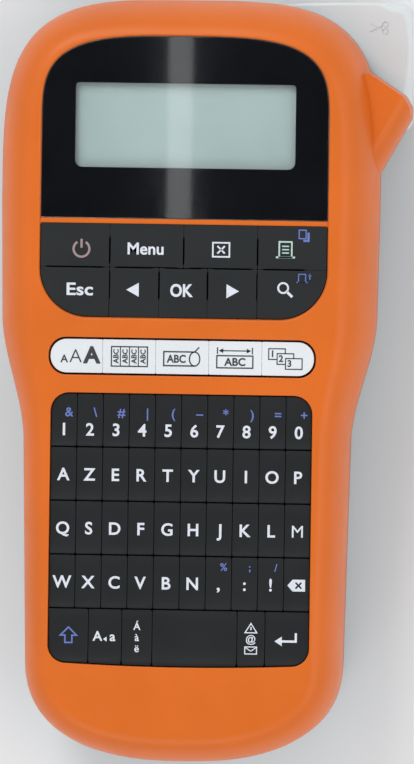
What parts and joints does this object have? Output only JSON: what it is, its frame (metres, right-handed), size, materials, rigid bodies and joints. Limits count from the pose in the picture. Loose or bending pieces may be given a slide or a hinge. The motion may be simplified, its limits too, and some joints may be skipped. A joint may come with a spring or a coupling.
{
  "type": "label maker",
  "caption": "Handheld label maker with a display lens, letter keypad, white hot keys, side cutter lever, tape print unit and battery bay behind a lift-off back cover.",
  "frame": {"origin": "on the back plane that the label maker lies on, at mid length and on the centre line of the body", "axes": "+Z out of the keyboard face, +Y towards the end where the tape comes out, +X towards the cutter lever"},
  "size_m": [0.1113, 0.207, 0.058],
  "materials": {
    "orange_casing": "fine satin moulded ABS, safety orange",
    "charcoal_casing": "fine spark-eroded texture",
    "dark_key": "soft-touch keys with a satin coat",
    "hot_key": "satin white keys",
    "display_lens": "polished acrylic, black printed border",
    "lcd_glass": "grey-green reflective liquid crystal",
    "clear_window": "clear polystyrene",
    "lever_plastic": "frosted white, slightly translucent",
    "inner_plastic": "plain moulded",
    "gear_plastic": "plain acetal",
    "cassette_plastic": "plain moulded",
    "mat_rubber": "silicone rubber",
    "circuit_board": "green solder mask",
    "print_head": "glazed ceramic",
    "aluminium": "extruded",
    "bright_steel": "plated",
    "brass": "turned",
    "socket_plastic": "plain moulded",
    "cell_sleeve": "shrink sleeve"
  },
  "bodies": {
    "casing": {"front_shell": "orange_casing", "rear_shell": "charcoal_casing", "display_lens": "display_lens", "lcd_panel": "lcd_glass", "lcd_frame": "inner_plastic", "main_board": "circuit_board", "key_mat": "mat_rubber", "print_chassis": "inner_plastic", "print_head": "print_head", "heat_sink": "aluminium", "motor": "bright_steel", "gear_axles": "bright_steel", "cutter_anvil": "bright_steel", "lever_pin": "bright_steel", "lever_spring": "bright_steel", "dc_jack": "socket_plastic", "battery_box": "charcoal_casing", "battery_springs": "bright_steel", "battery_contacts": "bright_steel", "battery_cells": "cell_sleeve", "cassette_case": "cassette_plastic", "case_screws": "bright_steel"},
    "cover": {"back_cover": "charcoal_casing", "cover_window": "clear_window"},
    "lever": {"cutter_lever": "lever_plastic"},
    "slider": {"blade_slider": "gear_plastic", "cutter_blade": "bright_steel"},
    "platen": {"platen_roller": "mat_rubber", "platen_gear": "gear_plastic"},
    "pinion": {"motor_pinion": "brass"},
    "reduction": {"reduction_gear": "gear_plastic"},
    "idler": {"idler_gear": "gear_plastic"},
    "ribbon_drive": {"ribbon_spindle": "gear_plastic"},
    "reel": {"tape_reel": "gear_plastic"},
    "key_power": {"key_power": "dark_key"},
    "key_menu": {"key_menu": "dark_key"},
    "key_clear": {"key_clear": "dark_key"},
    "key_print": {"key_print": "dark_key"},
    "key_escape": {"key_escape": "dark_key"},
    "key_left": {"key_left": "dark_key"},
    "key_ok": {"key_ok": "dark_key"},
    "key_right": {"key_right": "dark_key"},
    "key_search": {"key_search": "dark_key"},
    "key_text_size": {"key_text_size": "hot_key"},
    "key_table": {"key_table": "hot_key"},
    "key_cable_flag": {"key_cable_flag": "hot_key"},
    "key_faceplate": {"key_faceplate": "hot_key"},
    "key_series": {"key_series": "hot_key"},
    "digit_keys": {"digit_keys": "dark_key"},
    "upper_letter_keys": {"upper_letter_keys": "dark_key"},
    "middle_letter_keys": {"middle_letter_keys": "dark_key"},
    "lower_letter_keys": {"lower_letter_keys": "dark_key"},
    "key_backspace": {"key_backspace": "dark_key"},
    "key_shift": {"key_shift": "dark_key"},
    "key_caps": {"key_caps": "dark_key"},
    "key_accent": {"key_accent": "dark_key"},
    "key_space": {"key_space": "dark_key"},
    "key_symbol": {"key_symbol": "dark_key"},
    "key_enter": {"key_enter": "dark_key"}
  },
  "joints": [
    {"name": "cover_lift", "type": "slide", "parent": "casing", "child": "cover", "axis": [0, 0, -1], "range_m": [0, 0.03]},
    {"name": "lever_press", "type": "hinge", "parent": "casing", "child": "lever", "pos_m": [0.054, 0.0725, 0], "axis": [0, 0, 1], "range_deg": [0, 10], "stiffness_Nm_per_rad": 0.35, "deforming": ["lever_spring"]},
    {"name": "blade_slide", "type": "slide", "parent": "casing", "child": "slider", "axis": [-1, 0, 0], "range_m": [0, 0.0024]},
    {"name": "platen_turn", "type": "hinge", "parent": "casing", "child": "platen", "pos_m": [0.0211, 0.062, 0], "axis": [0, 0, 1], "continuous": true},
    {"name": "pinion_turn", "type": "hinge", "parent": "casing", "child": "pinion", "pos_m": [0.036, 0.03, 0], "axis": [0, 0, 1], "continuous": true},
    {"name": "reduction_turn", "type": "hinge", "parent": "casing", "child": "reduction", "pos_m": [0.03001, 0.04097, 0], "axis": [0, 0, 1], "continuous": true},
    {"name": "idler_turn", "type": "hinge", "parent": "casing", "child": "idler", "pos_m": [0.0218, 0.04902, 0], "axis": [0, 0, 1], "continuous": true},
    {"name": "ribbon_turn", "type": "hinge", "parent": "casing", "child": "ribbon_drive", "pos_m": [0.00755, 0.04432, 0], "axis": [0, 0, 1], "continuous": true},
    {"name": "reel_turn", "type": "hinge", "parent": "casing", "child": "reel", "pos_m": [-0.0195, 0.047, 0], "axis": [0, 0, 1], "continuous": true},
    {"name": "key_power_press", "type": "slide", "parent": "casing", "child": "key_power", "axis": [0, 0, -1], "range_m": [0, 0.0008], "stiffness_N_per_m": 500},
    {"name": "key_menu_press", "type": "slide", "parent": "casing", "child": "key_menu", "axis": [0, 0, -1], "range_m": [0, 0.0008], "stiffness_N_per_m": 500},
    {"name": "key_clear_press", "type": "slide", "parent": "casing", "child": "key_clear", "axis": [0, 0, -1], "range_m": [0, 0.0008], "stiffness_N_per_m": 500},
    {"name": "key_print_press", "type": "slide", "parent": "casing", "child": "key_print", "axis": [0, 0, -1], "range_m": [0, 0.0008], "stiffness_N_per_m": 500},
    {"name": "key_escape_press", "type": "slide", "parent": "casing", "child": "key_escape", "axis": [0, 0, -1], "range_m": [0, 0.0008], "stiffness_N_per_m": 500},
    {"name": "key_left_press", "type": "slide", "parent": "casing", "child": "key_left", "axis": [0, 0, -1], "range_m": [0, 0.0008], "stiffness_N_per_m": 500},
    {"name": "key_ok_press", "type": "slide", "parent": "casing", "child": "key_ok", "axis": [0, 0, -1], "range_m": [0, 0.0008], "stiffness_N_per_m": 500},
    {"name": "key_right_press", "type": "slide", "parent": "casing", "child": "key_right", "axis": [0, 0, -1], "range_m": [0, 0.0008], "stiffness_N_per_m": 500},
    {"name": "key_search_press", "type": "slide", "parent": "casing", "child": "key_search", "axis": [0, 0, -1], "range_m": [0, 0.0008], "stiffness_N_per_m": 500},
    {"name": "key_text_size_press", "type": "slide", "parent": "casing", "child": "key_text_size", "axis": [0, 0, -1], "range_m": [0, 0.0008], "stiffness_N_per_m": 500},
    {"name": "key_table_press", "type": "slide", "parent": "casing", "child": "key_table", "axis": [0, 0, -1], "range_m": [0, 0.0008], "stiffness_N_per_m": 500},
    {"name": "key_cable_flag_press", "type": "slide", "parent": "casing", "child": "key_cable_flag", "axis": [0, 0, -1], "range_m": [0, 0.0008], "stiffness_N_per_m": 500},
    {"name": "key_faceplate_press", "type": "slide", "parent": "casing", "child": "key_faceplate", "axis": [0, 0, -1], "range_m": [0, 0.0008], "stiffness_N_per_m": 500},
    {"name": "key_series_press", "type": "slide", "parent": "casing", "child": "key_series", "axis": [0, 0, -1], "range_m": [0, 0.0008], "stiffness_N_per_m": 500},
    {"name": "digit_keys_press", "type": "slide", "parent": "casing", "child": "digit_keys", "axis": [0, 0, -1], "range_m": [0, 0.0008], "stiffness_N_per_m": 900},
    {"name": "upper_letter_keys_press", "type": "slide", "parent": "casing", "child": "upper_letter_keys", "axis": [0, 0, -1], "range_m": [0, 0.0008], "stiffness_N_per_m": 900},
    {"name": "middle_letter_keys_press", "type": "slide", "parent": "casing", "child": "middle_letter_keys", "axis": [0, 0, -1], "range_m": [0, 0.0008], "stiffness_N_per_m": 900},
    {"name": "lower_letter_keys_press", "type": "slide", "parent": "casing", "child": "lower_letter_keys", "axis": [0, 0, -1], "range_m": [0, 0.0008], "stiffness_N_per_m": 900},
    {"name": "key_backspace_press", "type": "slide", "parent": "casing", "child": "key_backspace", "axis": [0, 0, -1], "range_m": [0, 0.0008], "stiffness_N_per_m": 500},
    {"name": "key_shift_press", "type": "slide", "parent": "casing", "child": "key_shift", "axis": [0, 0, -1], "range_m": [0, 0.0008], "stiffness_N_per_m": 500},
    {"name": "key_caps_press", "type": "slide", "parent": "casing", "child": "key_caps", "axis": [0, 0, -1], "range_m": [0, 0.0008], "stiffness_N_per_m": 500},
    {"name": "key_accent_press", "type": "slide", "parent": "casing", "child": "key_accent", "axis": [0, 0, -1], "range_m": [0, 0.0008], "stiffness_N_per_m": 500},
    {"name": "key_space_press", "type": "slide", "parent": "casing", "child": "key_space", "axis": [0, 0, -1], "range_m": [0, 0.0008], "stiffness_N_per_m": 500},
    {"name": "key_symbol_press", "type": "slide", "parent": "casing", "child": "key_symbol", "axis": [0, 0, -1], "range_m": [0, 0.0008], "stiffness_N_per_m": 500},
    {"name": "key_enter_press", "type": "slide", "parent": "casing", "child": "key_enter", "axis": [0, 0, -1], "range_m": [0, 0.0008], "stiffness_N_per_m": 500}
  ],
  "couplings": [
    {"joint": "blade_slide", "follows": "lever_press", "m_per_rad": 0.01375},
    {"joint": "idler_turn", "follows": "platen_turn", "ratio": -0.66667},
    {"joint": "reduction_turn", "follows": "platen_turn", "ratio": 1.4286},
    {"joint": "pinion_turn", "follows": "platen_turn", "ratio": -4.2857},
    {"joint": "ribbon_turn", "follows": "platen_turn", "ratio": 0.71429},
    {"joint": "reel_turn", "follows": "platen_turn", "ratio": -0.20588}
  ]
}
